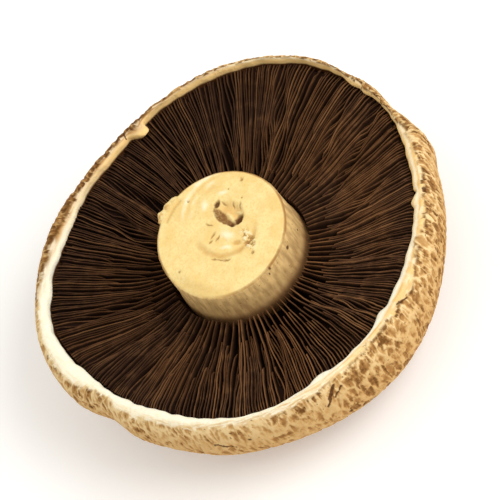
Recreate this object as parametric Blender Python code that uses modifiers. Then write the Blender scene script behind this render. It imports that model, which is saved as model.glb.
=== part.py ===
"""Portobello mushroom, picked and trimmed, resting on its cap with the gills and the cut stem upward.

Metres, +Z up. The origin is the middle of the small flat spot on the crown that the mushroom rests on.
The fruiting body has three differently coloured parts: the scaly cap with its rolled margin, the ring of
gills that fills the cap, and the short stem that was cut across.
"""

import math
import random

import bmesh
import bpy
from mathutils import Vector

MM = 0.001

# Driving dimensions
CAP_RADIUS = 55 * MM
CAP_DEPTH = 31 * MM
GILL_RADIUS = 50 * MM
REST_RADIUS = 12 * MM
WIDEST_HEIGHT = 23 * MM
FLESH_DEPTH = 15 * MM
STEM_RADIUS = 17.2 * MM
STEM_TOP = 39.5 * MM
STEM_CENTRE = Vector((-1.5 * MM, -3.8 * MM))
STEM_CUT_SLOPE = math.radians(7)
STEM_SWELL = 0.3 * MM
STEM_EDGE_ROUND = 0.8 * MM
STEM_HOLLOW_RADIUS = 5 * MM
STEM_HOLLOW_DEPTH = 1.2 * MM
JOINT_GAP = 0.3 * MM
STEM_GROOVE = 0.7 * MM

# The cap's outline, as waves round its rim: how many, their share of the radius, and where they crest
OUTLINE_WAVES = (
    (2, 0.023, math.radians(94)),
    (3, 0.032, math.radians(100)),
    (4, 0.016, math.radians(-91)),
    (5, 0.005, math.radians(68)),
)
# Where the skin stands further out than that outline, or less far: how many waves, their width, their crest
SKIN_WAVES = (
    (1, 0.8 * MM, math.radians(-160)),
    (2, 1.2 * MM, math.radians(-35)),
    (3, 0.75 * MM, math.radians(-140)),
    (4, 0.45 * MM, math.radians(53)),
)
# The stem's slightly lobed outline, in the form of the cap's
STEM_WAVES = ((2, 0.008, 0.6), (3, 0.006, 0.4))
# The rim's rise and fall, as waves: how many, their height, and where they crest
RIM_WAVES = (
    (2, 0.7 * MM, math.radians(150)),
    (3, 0.5 * MM, math.radians(20)),
    (7, 0.25 * MM, math.radians(70)),
)

# Gills
GILL_COUNT = 160
GILL_VALLEY_SHARE = 0.3
GILL_RISE = 5 * MM
GILL_SWAY = 0.035
GILL_SWAY_WAVES = 3
SHORT_GILL_STARTS = (26 * MM, 33 * MM)
GILL_HEIGHT_SPREAD = 0.06
GILL_STATIONS = (0.0, 0.08, 0.22, 0.42, 0.62, 0.82, 0.94, 1.0)

# The cap's section
SHOULDER_RINGS = 12
SHOULDER_FULLNESS = 2.35
# Where the flesh under the gills bends, as shares of the way from the stem to the margin
FLESH_STATIONS = (1.0, 0.82, 0.55, 0.0)

# Scales on the cap's skin
SKIN_SIDES = 104
SCALE_HEIGHT = 0.6 * MM
SCALE_HEIGHT_SPREAD = (0.5, 1.0)
SCALE_SHARE_BETWEEN = 0.1
SKIN_FULL_RADIUS = 25 * MM

STEM_SIDES = 48
SEED = 7
WELD_DISTANCE = 0.00001

# Colour, roughness and metallic value of each part
FINISHES = {
    "cap": ((0.62, 0.43, 0.22, 1.0), 0.75, 0.0),
    "gills": ((0.045, 0.022, 0.012, 1.0), 0.8, 0.0),
    "stem": ((0.93, 0.76, 0.42, 1.0), 0.65, 0.0),
}


def smooth_step(low, high, value):
    """0 below low, 1 above high, and a smooth rise between."""
    share = min(1.0, max(0.0, (value - low) / (high - low)))
    return share * share * (3 - 2 * share)


def wave_sum(waves, angle):
    return sum(size * math.cos(count * angle - crest) for count, size, crest in waves)


def gill_edge_height(radius):
    """The height of the gills' free edges: a shallow bowl that climbs to the margin."""
    bowl_floor = 26 * MM
    climb = 3.2 * MM
    return bowl_floor + climb * (radius / GILL_RADIUS) ** 4


def flesh_height(radius):
    """The height of the flesh that the gills and the stem grow from."""
    climb = 10.5 * MM
    return FLESH_DEPTH + climb * (radius / GILL_RADIUS) ** 4


def across_gills(stations):
    """Radii at shares of the way from the gills' inner end, round the stem, to the margin."""
    inner = STEM_RADIUS + STEM_GROOVE
    outer = GILL_RADIUS - JOINT_GAP
    return [inner + share * (outer - inner) for share in stations]


def warp(radius, angle, height, inside):
    """A point of a round body, moved to the mushroom's own uneven outline and wavy rim.

    What is inside the cap also shifts toward the stem, which stands a little off the middle."""
    outward = smooth_step(STEM_RADIUS, GILL_RADIUS, radius)
    upward = smooth_step(REST_RADIUS, CAP_DEPTH, height)
    true_radius = radius * (1 + outward * wave_sum(OUTLINE_WAVES, angle))
    x = true_radius * math.cos(angle)
    y = true_radius * math.sin(angle)
    if inside:
        x += (1 - outward) * STEM_CENTRE.x
        y += (1 - outward) * STEM_CENTRE.y
    return Vector((x, y, height + outward * upward * wave_sum(RIM_WAVES, angle)))


def turned(name, section, sides, closed):
    """A mesh turned about Z from the (kind, radius, height) points of a section."""
    outline = bpy.data.meshes.new(name + "_section")
    edges = [(i, i + 1) for i in range(len(section) - 1)]
    if closed:
        edges.append((len(section) - 1, 0))
    outline.from_pydata([(radius, 0, height) for _, radius, height in section], edges, [])
    carrier = bpy.data.objects.new(name + "_section", outline)
    bpy.context.scene.collection.objects.link(carrier)
    screw = carrier.modifiers.new("Turn", "SCREW")
    screw.steps = screw.render_steps = sides
    screw.use_merge_vertices = True
    screw.merge_threshold = WELD_DISTANCE
    evaluated = carrier.evaluated_get(bpy.context.evaluated_depsgraph_get())
    mesh = bpy.data.meshes.new_from_object(evaluated)
    mesh.name = name
    bpy.data.objects.remove(carrier)
    bpy.data.meshes.remove(outline)
    welded = bmesh.new()
    welded.from_mesh(mesh)
    bmesh.ops.remove_doubles(welded, verts=welded.verts, dist=WELD_DISTANCE)
    bmesh.ops.recalc_face_normals(welded, faces=welded.faces)
    welded.to_mesh(mesh)
    welded.free()
    return mesh


def place_on_section(section, point):
    """Which point of the section a turned vertex came from, with its radius, angle and height."""
    radius = math.hypot(point.x, point.y)
    ring = min(
        range(len(section)),
        key=lambda i: (section[i][1] - radius) ** 2 + (section[i][2] - point.z) ** 2,
    )
    return ring, radius, math.atan2(point.y, point.x), point.z


def finished(name, mesh, collection):
    """The object of one part, with its own material, shaded smooth up to sharp edges."""
    colour, roughness, metallic = FINISHES[name]
    material = bpy.data.materials.new(name)
    material.use_nodes = True
    shader = material.node_tree.nodes["Principled BSDF"]
    shader.inputs["Base Color"].default_value = colour
    shader.inputs["Roughness"].default_value = roughness
    shader.inputs["Metallic"].default_value = metallic
    mesh.materials.append(material)
    mesh.shade_smooth()
    mesh.set_sharp_from_angle(angle=math.radians(40))
    part = bpy.data.objects.new(name, mesh)
    collection.objects.link(part)
    return part


def arc(kind, centre, reach, rise, start, end, steps):
    """Points of an elliptic arc in the section, after its first one. Angles are in quarter turns."""
    points = []
    for step in range(1, steps + 1):
        turn = math.pi / 2 * (start + (end - start) * step / steps)
        points.append((kind, centre[0] + reach * math.cos(turn), centre[1] + rise * math.sin(turn)))
    return points


def cap_section():
    """The cap's section: flat crown, full shoulder, rolled margin and the flesh under the gills."""
    crest_radius = (CAP_RADIUS + GILL_RADIUS) / 2
    lip_height = gill_edge_height(GILL_RADIUS)
    lip_radius = GILL_RADIUS + JOINT_GAP
    points = [("rest", 0, 0), ("rest", REST_RADIUS, 0)]
    for step in range(1, SHOULDER_RINGS + 1):
        turn = math.pi / 2 * step / SHOULDER_RINGS
        reach = math.sin(turn) ** (2 / SHOULDER_FULLNESS)
        rise = 1 - math.cos(turn) ** (2 / SHOULDER_FULLNESS)
        points.append(
            ("skin", REST_RADIUS + (CAP_RADIUS - REST_RADIUS) * reach, WIDEST_HEIGHT * rise)
        )
    points += arc(
        "margin",
        (crest_radius, WIDEST_HEIGHT),
        CAP_RADIUS - crest_radius,
        CAP_DEPTH - WIDEST_HEIGHT,
        start=0,
        end=1,
        steps=3,
    )
    points += arc(
        "margin",
        (crest_radius, lip_height),
        crest_radius - lip_radius,
        CAP_DEPTH - lip_height,
        start=1,
        end=2,
        steps=2,
    )
    points.append(("flesh", lip_radius, flesh_height(lip_radius) - JOINT_GAP))
    for radius in across_gills(FLESH_STATIONS[1:]):
        points.append(("flesh", radius, flesh_height(radius) - JOINT_GAP))
    points.append(("flesh", 0, flesh_height(0) - JOINT_GAP))
    return points


def make_cap(collection):
    """The bowl of flesh under a skin of low scales, rough all over but for the spot it rests on."""
    section = cap_section()
    mesh = turned("cap", section, SKIN_SIDES, closed=False)
    draw = random.Random(SEED)
    for vertex in mesh.vertices:
        ring, radius, angle, height = place_on_section(section, vertex.co)
        kind = section[ring][0]
        skin_wave = wave_sum(SKIN_WAVES, angle)
        if kind == "skin":
            column = round(angle / math.tau * SKIN_SIDES)
            stands = 1.0 if (column + ring) % 2 else SCALE_SHARE_BETWEEN
            scale = stands * draw.uniform(*SCALE_HEIGHT_SPREAD) * SCALE_HEIGHT
            radius += (skin_wave + scale) * smooth_step(REST_RADIUS, SKIN_FULL_RADIUS, radius)
        elif kind == "margin":
            radius += skin_wave * smooth_step(GILL_RADIUS, CAP_RADIUS, radius)
        vertex.co = warp(radius, angle, height, inside=kind == "flesh")
    return finished("cap", mesh, collection)


def gill_section():
    """The gills' section: their free edge above, and their root line in the flesh below."""
    edge = [("edge", radius, gill_edge_height(radius)) for radius in across_gills(GILL_STATIONS)]
    root = [("root", radius, flesh_height(radius)) for radius in across_gills(FLESH_STATIONS)]
    return edge + root


def make_gills(collection):
    """Upright blades from the stem to the margin. Every second one starts part of the way out."""
    section = gill_section()
    columns = 2 * GILL_COUNT
    mesh = turned("gills", section, columns, closed=True)
    draw = random.Random(SEED)
    tallness = [1 - draw.uniform(0, GILL_HEIGHT_SPREAD) for _ in range(GILL_COUNT)]
    starts = [draw.uniform(*SHORT_GILL_STARTS) for _ in range(GILL_COUNT)]
    for vertex in mesh.vertices:
        ring, radius, angle, height = place_on_section(section, vertex.co)
        column = round(angle / math.tau * columns) % columns
        number = column // 2
        if section[ring][0] == "edge":
            stands = GILL_VALLEY_SHARE
            if column % 2 == 0:
                grown = smooth_step(starts[number] - GILL_RISE, starts[number], radius)
                rise = grown if number % 2 else 1.0
                stands += rise * (tallness[number] - GILL_VALLEY_SHARE)
            root = flesh_height(radius)
            height = root + stands * (height - root)
        sway = GILL_SWAY * math.sin(GILL_SWAY_WAVES * angle) * math.sin(radius / GILL_RADIUS * math.pi)
        vertex.co = warp(radius, angle + sway, height, inside=True)
    return finished("gills", mesh, collection)


def stem_section():
    """The stem's section: a stub that swells a little, with an eased edge where it was cut."""
    return [
        ("side", 0, FLESH_DEPTH),
        ("side", STEM_RADIUS, FLESH_DEPTH),
        ("side", STEM_RADIUS + STEM_SWELL, (FLESH_DEPTH + STEM_TOP) / 2),
        ("side", STEM_RADIUS, STEM_TOP - STEM_EDGE_ROUND),
        ("cut", STEM_RADIUS - STEM_EDGE_ROUND, STEM_TOP),
        ("cut", STEM_HOLLOW_RADIUS, STEM_TOP),
        ("cut", STEM_HOLLOW_RADIUS / 2, STEM_TOP - STEM_HOLLOW_DEPTH),
        ("cut", 0, STEM_TOP - STEM_HOLLOW_DEPTH),
    ]


def make_stem(collection):
    """The cut stem, whose top slopes down toward -Y and has a shallow hollow in its middle."""
    mesh = turned("stem", stem_section(), STEM_SIDES, closed=False)
    for vertex in mesh.vertices:
        radius = math.hypot(vertex.co.x, vertex.co.y)
        angle = math.atan2(vertex.co.y, vertex.co.x)
        radius *= 1 + wave_sum(STEM_WAVES, angle)
        x = radius * math.cos(angle)
        y = radius * math.sin(angle)
        slope_share = smooth_step(FLESH_DEPTH, STEM_TOP, vertex.co.z)
        height = vertex.co.z + slope_share * y * math.tan(STEM_CUT_SLOPE)
        vertex.co = Vector((x + STEM_CENTRE.x, y + STEM_CENTRE.y, height))
    return finished("stem", mesh, collection)


def main():
    for old in list(bpy.data.objects):
        bpy.data.objects.remove(old)
    collection = bpy.data.collections.new("portobello_mushroom")
    bpy.context.scene.collection.children.link(collection)
    make_cap(collection)
    make_gills(collection)
    make_stem(collection)


main()
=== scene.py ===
"""Portobello mushroom, picked and trimmed, lying on its cap: its skin, gills and cut stem, and a plain
stage.

Metres, +Z up. The origin is the middle of the flat spot on the crown that the mushroom rests on.
"""

import math
from types import SimpleNamespace

import bpy
import numpy as np
from bpy.props import FloatProperty, FloatVectorProperty, IntProperty, PointerProperty
from mathutils import Matrix, Vector


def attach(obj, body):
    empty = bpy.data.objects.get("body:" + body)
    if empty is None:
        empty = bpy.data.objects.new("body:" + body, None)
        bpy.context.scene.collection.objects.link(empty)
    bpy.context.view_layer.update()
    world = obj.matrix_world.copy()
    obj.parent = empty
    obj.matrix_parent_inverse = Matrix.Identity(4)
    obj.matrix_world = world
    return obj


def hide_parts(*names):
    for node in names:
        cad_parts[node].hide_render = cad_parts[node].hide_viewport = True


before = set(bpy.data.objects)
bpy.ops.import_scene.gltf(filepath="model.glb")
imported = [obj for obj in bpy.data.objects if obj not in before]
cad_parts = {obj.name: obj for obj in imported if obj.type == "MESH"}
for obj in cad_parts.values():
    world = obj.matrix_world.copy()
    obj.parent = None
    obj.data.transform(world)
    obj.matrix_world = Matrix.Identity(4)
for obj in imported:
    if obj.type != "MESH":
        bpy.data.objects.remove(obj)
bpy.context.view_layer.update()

bl_info = {
    "name": "Portobello Mushroom",
    "version": (1, 0, 0),
    "blender": (4, 5, 0),
    "location": "View3D > Sidebar > Mushroom",
    "description": "Skin, gills and cut stem of a portobello mushroom, and a plain stage for it",
    "category": "Add Mesh",
}

MM = 0.001

# The mushroom's driving dimensions, as its solids have them
CAP_RADIUS = 55 * MM
CAP_DEPTH = 31 * MM
GILL_RADIUS = 50 * MM
REST_RADIUS = 12 * MM
WIDEST_HEIGHT = 23 * MM
FLESH_DEPTH = 15 * MM
STEM_RADIUS = 17.2 * MM
STEM_TOP = 39.5 * MM
STEM_CENTRE = (-1.5 * MM, -3.8 * MM)
STEM_CUT_SLOPE = math.radians(7)
STEM_SWELL = 0.3 * MM
STEM_EDGE_ROUND = 0.8 * MM
JOINT_GAP = 0.3 * MM
STEM_GROOVE = 0.7 * MM
SKIN_FULL_RADIUS = 25 * MM
SHOULDER_FULLNESS = 2.35
GILL_SWAY = 0.035
GILL_SWAY_WAVES = 3

# Uneven outlines, as waves: how many, how large, and where they crest
OUTLINE_WAVES = (
    (2, 0.023, math.radians(94)),
    (3, 0.032, math.radians(100)),
    (4, 0.016, math.radians(-91)),
    (5, 0.005, math.radians(68)),
)
SKIN_WAVES = (
    (1, 0.8 * MM, math.radians(-160)),
    (2, 1.2 * MM, math.radians(-35)),
    (3, 0.75 * MM, math.radians(-140)),
    (4, 0.45 * MM, math.radians(53)),
)
STEM_WAVES = ((2, 0.008, 0.6), (3, 0.006, 0.4))
RIM_WAVES = (
    (2, 0.7 * MM, math.radians(150)),
    (3, 0.5 * MM, math.radians(20)),
    (7, 0.25 * MM, math.radians(70)),
)
# How far the lip stands outside the gills' round, and how it wanders in and out
LIP_WAVES = (
    (0, 0.4 * MM, 0.0),
    (1, 0.4 * MM, math.radians(110)),
    (9, 0.3 * MM, math.radians(20)),
)
# Where the lip reaches in over the gills, and notches where it draws back: the angle round the cap and
# half the width in degrees, and how far in millimetres
LIP_POINTS = (
    (-30.3, 1.5, -1.0), (-33.5, 2.6, 0.9), (-26.5, 2.5, 0.5), (-72, 4.5, 1.1), (-95, 4.0, 0.9),
    (18, 5.0, 0.7), (151, 4.0, 0.6), (130, 16.0, 1.1), (9, 14.0, 0.8),
)
# Bulges and dents of the skin's outline, in the same terms, outward
SKIN_BUMPS = (
    (-11, 6, 1.0), (4, 12, -2.2), (20, 16, -2.0), (-166, 12, -1.9), (-131, 14, 0.4), (98, 18, 0.5),
    (128, 28, 2.4),
)
# The same for the lower half of its side alone
LOW_BUMPS = ((-76, 36, 1.5),)
# How far the bare margin reaches down from the lip, in millimetres, at angles round the cap in degrees
BAND_WIDTHS = (
    (-175, 3.6), (-164, 3.4), (-153, 4.5), (-144, 4.2), (-130, 4.9), (-117, 5.2), (-105, 5.4),
    (-98, 5.4), (-91, 5.0), (-81, 3.9), (-75, 3.8), (-66, 4.4), (-61, 4.9), (-52, 3.7), (-47, 3.0),
    (-38, 4.3), (-23, 3.4), (-13, 2.8), (-7, 2.1), (2, 1.5), (14, 1.4), (26, 2.1), (40, 2.7), (64, 2.5),
    (80, 2.6), (95, 2.3), (115, 2.1), (129, 2.3), (145, 3.2), (166, 4.3), (178, 4.1),
)
# How brown the skin is at angles round the cap in degrees: 0 is bare split flesh, 1 is all scales
SKIN_TONES = (
    (-172, 0.5), (-150, 0.4), (-129, 0.22), (-115, 0.3), (-101, 0.5), (-86, 0.6), (-68, 0.65),
    (-50, 0.68), (-30, 0.7), (-14, 0.7), (-6, 0.9), (14, 1.0), (32, 0.8), (60, 0.7), (90, 0.9),
    (120, 0.9), (150, 0.6),
)

# Camera: the photograph's viewing angle, with a longer lens so that the one mushroom fills the frame
CAMERA_ELEVATION = math.radians(51)
CAMERA_DISTANCE = 700 * MM
CAMERA_TURN = math.radians(39)
CAMERA_AIM = Vector((1.4 * MM, -5.0 * MM, 28.0 * MM))
FILM_WIDTH = 36.0


class Value:
    """A socket of a node. Arithmetic on it in Python adds Math nodes to its tree."""

    def __init__(self, sheet, node, socket):
        self.sheet = sheet
        self.node = node
        self.socket = socket

    def output(self, name):
        """Another output of the same node."""
        socket = next(s for s in self.node.outputs if s.enabled and s.name == name)
        return Value(self.sheet, self.node, socket)

    def math(self, operation, *others):
        return self.sheet.node("ShaderNodeMath", {"operation": operation}, [self, *others])

    def __add__(self, other):
        return self.math("ADD", other)

    __radd__ = __add__

    def __sub__(self, other):
        return self.math("SUBTRACT", other)

    def __rsub__(self, other):
        return self.sheet.node("ShaderNodeMath", {"operation": "SUBTRACT"}, [other, self])

    def __mul__(self, other):
        return self.math("MULTIPLY", other)

    __rmul__ = __mul__

    def __truediv__(self, other):
        return self.math("DIVIDE", other)

    def __pow__(self, other):
        return self.math("POWER", other)

    def __neg__(self):
        return self.math("MULTIPLY", -1.0)


class NodeSheet:
    """A node tree, with the one method that every node in it comes from."""

    def __init__(self, tree):
        self.tree = tree

    def node(self, kind, settings=None, inputs=()):
        """A node of that kind. Its settings come first, then its inputs, by name or in their order."""
        made = self.tree.nodes.new(kind)
        for name, setting in (settings or {}).items():
            setattr(made, name, setting)
        sockets = [socket for socket in made.inputs if socket.enabled]
        if isinstance(inputs, dict):
            pairs = [(next(s for s in sockets if s.name == name), v) for name, v in inputs.items()]
        else:
            pairs = list(zip(sockets, inputs))
        for socket, value in pairs:
            if isinstance(value, Value):
                self.tree.links.new(value.socket, socket)
            else:
                socket.default_value = value
        outputs = [socket for socket in made.outputs if socket.enabled]
        return Value(self, made, outputs[0] if outputs else None)

    def number(self, name):
        """A number that the mesh carries at each point."""
        if self.tree.bl_idname == "GeometryNodeTree":
            return self.node("GeometryNodeInputNamedAttribute", {"data_type": "FLOAT"}, {"Name": name})
        return self.node("ShaderNodeAttribute", {"attribute_name": name}).output("Fac")

    def place(self, name):
        """A place that the mesh carries at each point."""
        if self.tree.bl_idname == "GeometryNodeTree":
            settings = {"data_type": "FLOAT_VECTOR"}
            return self.node("GeometryNodeInputNamedAttribute", settings, {"Name": name})
        return self.node("ShaderNodeAttribute", {"attribute_name": name}).output("Vector")

    def vector(self, operation, *values):
        return self.node("ShaderNodeVectorMath", {"operation": operation}, values)

    def join(self, x, y, z):
        return self.node("ShaderNodeCombineXYZ", {}, [x, y, z])

    def parts(self, place):
        """The three numbers of a place."""
        split = self.node("ShaderNodeSeparateXYZ", {}, [place])
        return split.output("X"), split.output("Y"), split.output("Z")

    def noise(self, place, size, detail=2.0, roughness=0.5):
        """Soft noise round 0.5 with features of about that size."""
        inputs = {"Vector": place, "Scale": 1 / size, "Detail": detail, "Roughness": roughness}
        return self.node("ShaderNodeTexNoise", {}, inputs)

    def shifted(self, place, size, reach):
        """A place moved by up to about that reach, so that what is drawn on it wavers."""
        drift = self.noise(place, size).output("Color")
        drift = self.vector("SUBTRACT", drift, (0.5, 0.5, 0.5))
        return self.vector("ADD", place, self.scaled(drift, 2 * reach))

    def scaled(self, place, factor):
        return self.node("ShaderNodeVectorMath", {"operation": "SCALE"}, {"Vector": place, "Scale": factor})

    def length(self, place):
        return self.vector("LENGTH", place).output("Value")

    def distance(self, place, point):
        return self.length(self.vector("SUBTRACT", place, point))

    def mix(self, share, first, second):
        """A colour between two."""
        pair = [colour if isinstance(colour, Value) else opaque(colour) for colour in (first, second)]
        return self.node("ShaderNodeMix", {"data_type": "RGBA", "clamp_factor": True}, [share, *pair])

    def layered(self, colour, *layers):
        """A colour with others laid over it in turn, each with its share."""
        for share, over in layers:
            colour = self.mix(share, colour, over)
        return colour


class ShapeTree(NodeSheet):
    """A Geometry Nodes tree with a mesh in, a mesh out, and named inputs."""

    def __init__(self, name, inputs):
        super().__init__(bpy.data.node_groups.new(name, "GeometryNodeTree"))
        face = self.tree.interface
        face.new_socket("Mesh", in_out="OUTPUT", socket_type="NodeSocketGeometry")
        self.sockets = {
            label: face.new_socket(label, in_out="INPUT", socket_type="NodeSocket" + kind)
            for label, kind in {"Mesh": "Geometry", "Material": "Material", **inputs}.items()
        }
        self.start = self.node("NodeGroupInput")

    def input(self, label):
        return self.start.output(label)

    def stored(self, mesh, domain, name, value):
        """The mesh with a number of that name at each of its points or instances."""
        settings = {"data_type": "FLOAT", "domain": domain}
        inputs = {"Geometry": mesh, "Name": name, "Value": value}
        return self.node("GeometryNodeStoreNamedAttribute", settings, inputs)

    def end(self, mesh, moves):
        """Move the mesh's points, by an offset or to a position, and end the tree with it."""
        moved = self.node("GeometryNodeSetPosition", {}, {"Geometry": mesh, **moves})
        solid = self.node("GeometryNodeRealizeInstances", {}, {"Geometry": moved})
        inputs = {"Geometry": solid, "Material": self.input("Material")}
        self.node("NodeGroupOutput", {}, {"Mesh": self.node("GeometryNodeSetMaterial", {}, inputs)})

    def grow(self, name, carrier, material, values):
        """The plain mesh object that this tree makes of a carrier mesh."""
        source = bpy.data.objects.new(name + "_source", carrier)
        bpy.context.scene.collection.objects.link(source)
        modifier = source.modifiers.new(self.tree.name, "NODES")
        modifier.node_group = self.tree
        for label, value in {"Material": material, **values}.items():
            modifier[self.sockets[label].identifier] = value
        depsgraph = bpy.context.evaluated_depsgraph_get()
        mesh = bpy.data.meshes.new_from_object(
            source.evaluated_get(depsgraph), preserve_all_data_layers=True, depsgraph=depsgraph
        )
        mesh.name = name
        bpy.data.objects.remove(source)
        piece = bpy.data.objects.new(name, mesh)
        bpy.context.scene.collection.objects.link(piece)
        return piece


def sine(value):
    return value.math("SINE") if isinstance(value, Value) else np.sin(value)


def cosine(value):
    return value.math("COSINE") if isinstance(value, Value) else np.cos(value)


def root(value):
    return value.math("SQRT") if isinstance(value, Value) else np.sqrt(value)


def clamped(value):
    """The value, kept between 0 and 1."""
    if isinstance(value, Value):
        return value.math("MAXIMUM", 0.0).math("MINIMUM", 1.0)
    return np.clip(value, 0, 1)


def smooth_step(low, high, value):
    """0 below low, 1 above high, and a smooth rise between."""
    share = clamped((value - low) / (high - low))
    return share * share * (3 - 2 * share)


def wave_sum(waves, angle):
    return sum(size * cosine(angle * count - crest) for count, size, crest in waves)


def gill_edge_height(radius):
    """The height of the gills' free edges: a shallow bowl that climbs to the margin."""
    bowl_floor = 26 * MM
    climb = 3.2 * MM
    return climb * (radius / GILL_RADIUS) ** 4 + bowl_floor


def flesh_height(radius):
    """The height of the flesh that the gills and the stem grow from."""
    climb = 10.5 * MM
    return climb * (radius / GILL_RADIUS) ** 4 + FLESH_DEPTH


def warp(radius, angle, height, inside):
    """A point of a round body, moved to the mushroom's own uneven outline and wavy rim.

    inside is 1 for what is inside the cap, which also shifts toward the stem, and 0 for the rest."""
    outward = smooth_step(STEM_RADIUS, GILL_RADIUS, radius)
    upward = smooth_step(REST_RADIUS, CAP_DEPTH, height)
    true_radius = radius * (outward * wave_sum(OUTLINE_WAVES, angle) + 1)
    shift = (1 - outward) * inside
    x = true_radius * cosine(angle) + shift * STEM_CENTRE[0]
    y = true_radius * sine(angle) + shift * STEM_CENTRE[1]
    return x, y, height + outward * upward * wave_sum(RIM_WAVES, angle)


def screen_colour(red, green, blue):
    """The linear colour of a screen colour given in 0 to 255."""
    shares = [c / 255 for c in (red, green, blue)]
    return tuple(s / 12.92 if s <= 0.04045 else ((s + 0.055) / 1.055) ** 2.4 for s in shares)


def opaque(colour):
    return (*colour, 1.0)


def colour_setting(name, description, red, green, blue):
    """A colour that a user can change, from its screen colour in 0 to 255."""
    default = screen_colour(red, green, blue)
    return FloatVectorProperty(name=name, description=description, subtype="COLOR", default=default)


def size_setting(name, description, default):
    """A length that a user can change."""
    return FloatProperty(name=name, description=description, default=default, precision=5, unit="LENGTH")


def even_steps(points, spacing):
    """A line through points as even steps along it, and how far along each one is."""
    points = np.array(points, float)
    legs = np.hypot(*np.diff(points, axis=0).T)
    reached = np.concatenate([[0.0], np.cumsum(legs)])
    steps = np.linspace(0, reached[-1], round(reached[-1] / spacing) + 1)
    line = [np.interp(steps, reached, points[:, i]) for i in range(2)]
    return line[0], line[1], steps


def quarter_turn(steps):
    return np.linspace(0, math.pi / 2, steps)


def round_grid(columns, *lines):
    """The angle at each point of a grid of rings by columns, and a section's lines spread over it."""
    angle = np.linspace(-math.pi, math.pi, columns, endpoint=False)
    spread = [line[:, None] + 0 * angle for line in lines]
    return [angle + 0 * spread[0], *spread]


def round_mesh(name, points, numbers, poles=True):
    """A closed mesh of rings of points, with a pole at each end, or joined end to end like a tyre.

    points is rings by columns by 3. numbers holds what each point carries, by name."""
    rings, columns = points.shape[:2]
    first, last = (1, rings - 1) if poles else (0, rings)
    body = np.arange((last - first) * columns).reshape(-1, columns)
    if not poles:
        body = np.vstack([body, body[:1]])
    following = np.roll(body, -1, axis=1)
    quads = np.stack([body[:-1], following[:-1], following[1:], body[1:]], axis=-1).reshape(-1, 4)
    faces = quads.tolist()
    if poles:
        low, high = body.size, body.size + 1
        faces += [(low, int(b), int(a)) for a, b in zip(body[0], following[0])]
        faces += [(high, int(a), int(b)) for a, b in zip(body[-1], following[-1])]

    def flat(grid):
        rows = grid[first:last].reshape(-1, *grid.shape[2:])
        return np.concatenate([rows, grid[:1, 0], grid[-1:, 0]]) if poles else rows

    mesh = bpy.data.meshes.new(name)
    mesh.from_pydata(flat(points).tolist(), [], faces)
    for label, grid in numbers.items():
        if grid.ndim == 3:
            attribute = mesh.attributes.new(label, "FLOAT_VECTOR", "POINT")
            attribute.data.foreach_set("vector", flat(grid).astype(np.float32).ravel())
        else:
            attribute = mesh.attributes.new(label, "FLOAT", "POINT")
            attribute.data.foreach_set("value", flat(grid).astype(np.float32).ravel())
    mesh.shade_smooth()
    return mesh


def new_material(name):
    """An empty material, and the sheet for its nodes."""
    made = bpy.data.materials.new(name)
    made.use_nodes = True
    made.node_tree.nodes.clear()
    return made, NodeSheet(made.node_tree)


def finish_material(sheet, colour, roughness, height, bump_distance, soft_light=0.0, gloss=0.2):
    """The Principled shader that ends a material, with the relief that is too fine for the mesh."""
    bump = sheet.node("ShaderNodeBump", {}, {"Strength": 1.0, "Distance": bump_distance, "Height": height})
    shader = sheet.node(
        "ShaderNodeBsdfPrincipled",
        {},
        {
            "Base Color": colour,
            "Roughness": roughness,
            "Normal": bump,
            "Subsurface Weight": soft_light,
            "Subsurface Radius": (1.0, 0.6, 0.3),
            "Subsurface Scale": 0.8 * MM,
            "Specular IOR Level": gloss,
        },
    )
    sheet.node("ShaderNodeOutputMaterial", {}, {"Surface": shader})


def oval(x, y, centre, along, across, turn, soft):
    """1 in the middle of an oval spot, falling to 0 at its edge. turn is its long axis' angle in degrees."""
    c = math.cos(math.radians(turn))
    s = math.sin(math.radians(turn))
    dx = x - centre[0] * MM
    dy = y - centre[1] * MM
    one = (dx * c + dy * s) / (along * MM)
    two = (dy * c - dx * s) / (across * MM)
    return 1 - smooth_step(1 - soft, 1.0, root(one * one + two * two))


# Pits in the skin: the angle round the cap in degrees, how far down from the lip, and the reach across
# and along, in millimetres
SKIN_HOLES = (
    (-30.5, 4.3, 1.1, 0.8), (-94.2, 18.8, 0.7, 0.7), (-120.2, 11.8, 0.7, 0.6),
)
# Slits in the skin: where each starts and ends, in the same terms, and half its width
SKIN_SLITS = (
    (-93.7, 6.7, -96.5, 10.0, 0.5), (-95.5, 9.0, -97.9, 11.8, 0.4), (-92.2, 8.6, -95.0, 10.4, 0.3),
    (-66.7, 3.9, -63.5, 5.6, 0.3), (-129.7, 11.8, -124.9, 14.0, 0.36), (96.5, 0.9, 96.0, 3.4, 0.25),
)
# Large dark scales, in the same terms
SKIN_BLOTCHES = (
    (-88, 9.0, 2.6, 3.0), (-77, 6.5, 1.6, 1.2), (-62, 8.5, 1.8, 1.6), (-104, 8.5, 1.6, 1.2),
    (-28, 7.5, 2.2, 2.0), (-112, 14.5, 3.0, 1.0), (-152, 9.0, 2.5, 1.5), (-40, 12.0, 2.0, 2.5),
    (-5, 4.6, 1.8, 1.2), (3, 3.8, 2.4, 1.3), (11, 3.6, 2.4, 1.1), (20, 4.0, 2.2, 1.0),
)


def wall_place(degrees, down):
    """The place, on the straight wall that the skin's patterns are drawn on, that far below the lip."""
    angle = math.radians(degrees)
    return (CAP_RADIUS * math.cos(angle), CAP_RADIUS * math.sin(angle), down * MM)


def spots(sheet, place, marks, core, soft_edge):
    """How much of a spot there is at each place. A mark is its middle, and its reach across and along."""
    amount = 0.0
    for middle, across, along in marks:
        away = sheet.vector("SUBTRACT", place, middle)
        away = sheet.vector("MULTIPLY", away, (1 / across, 1 / across, 1 / along))
        amount = amount + 1 - smooth_step(core * MM, soft_edge * MM, sheet.length(away))
    return clamped(amount)


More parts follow.
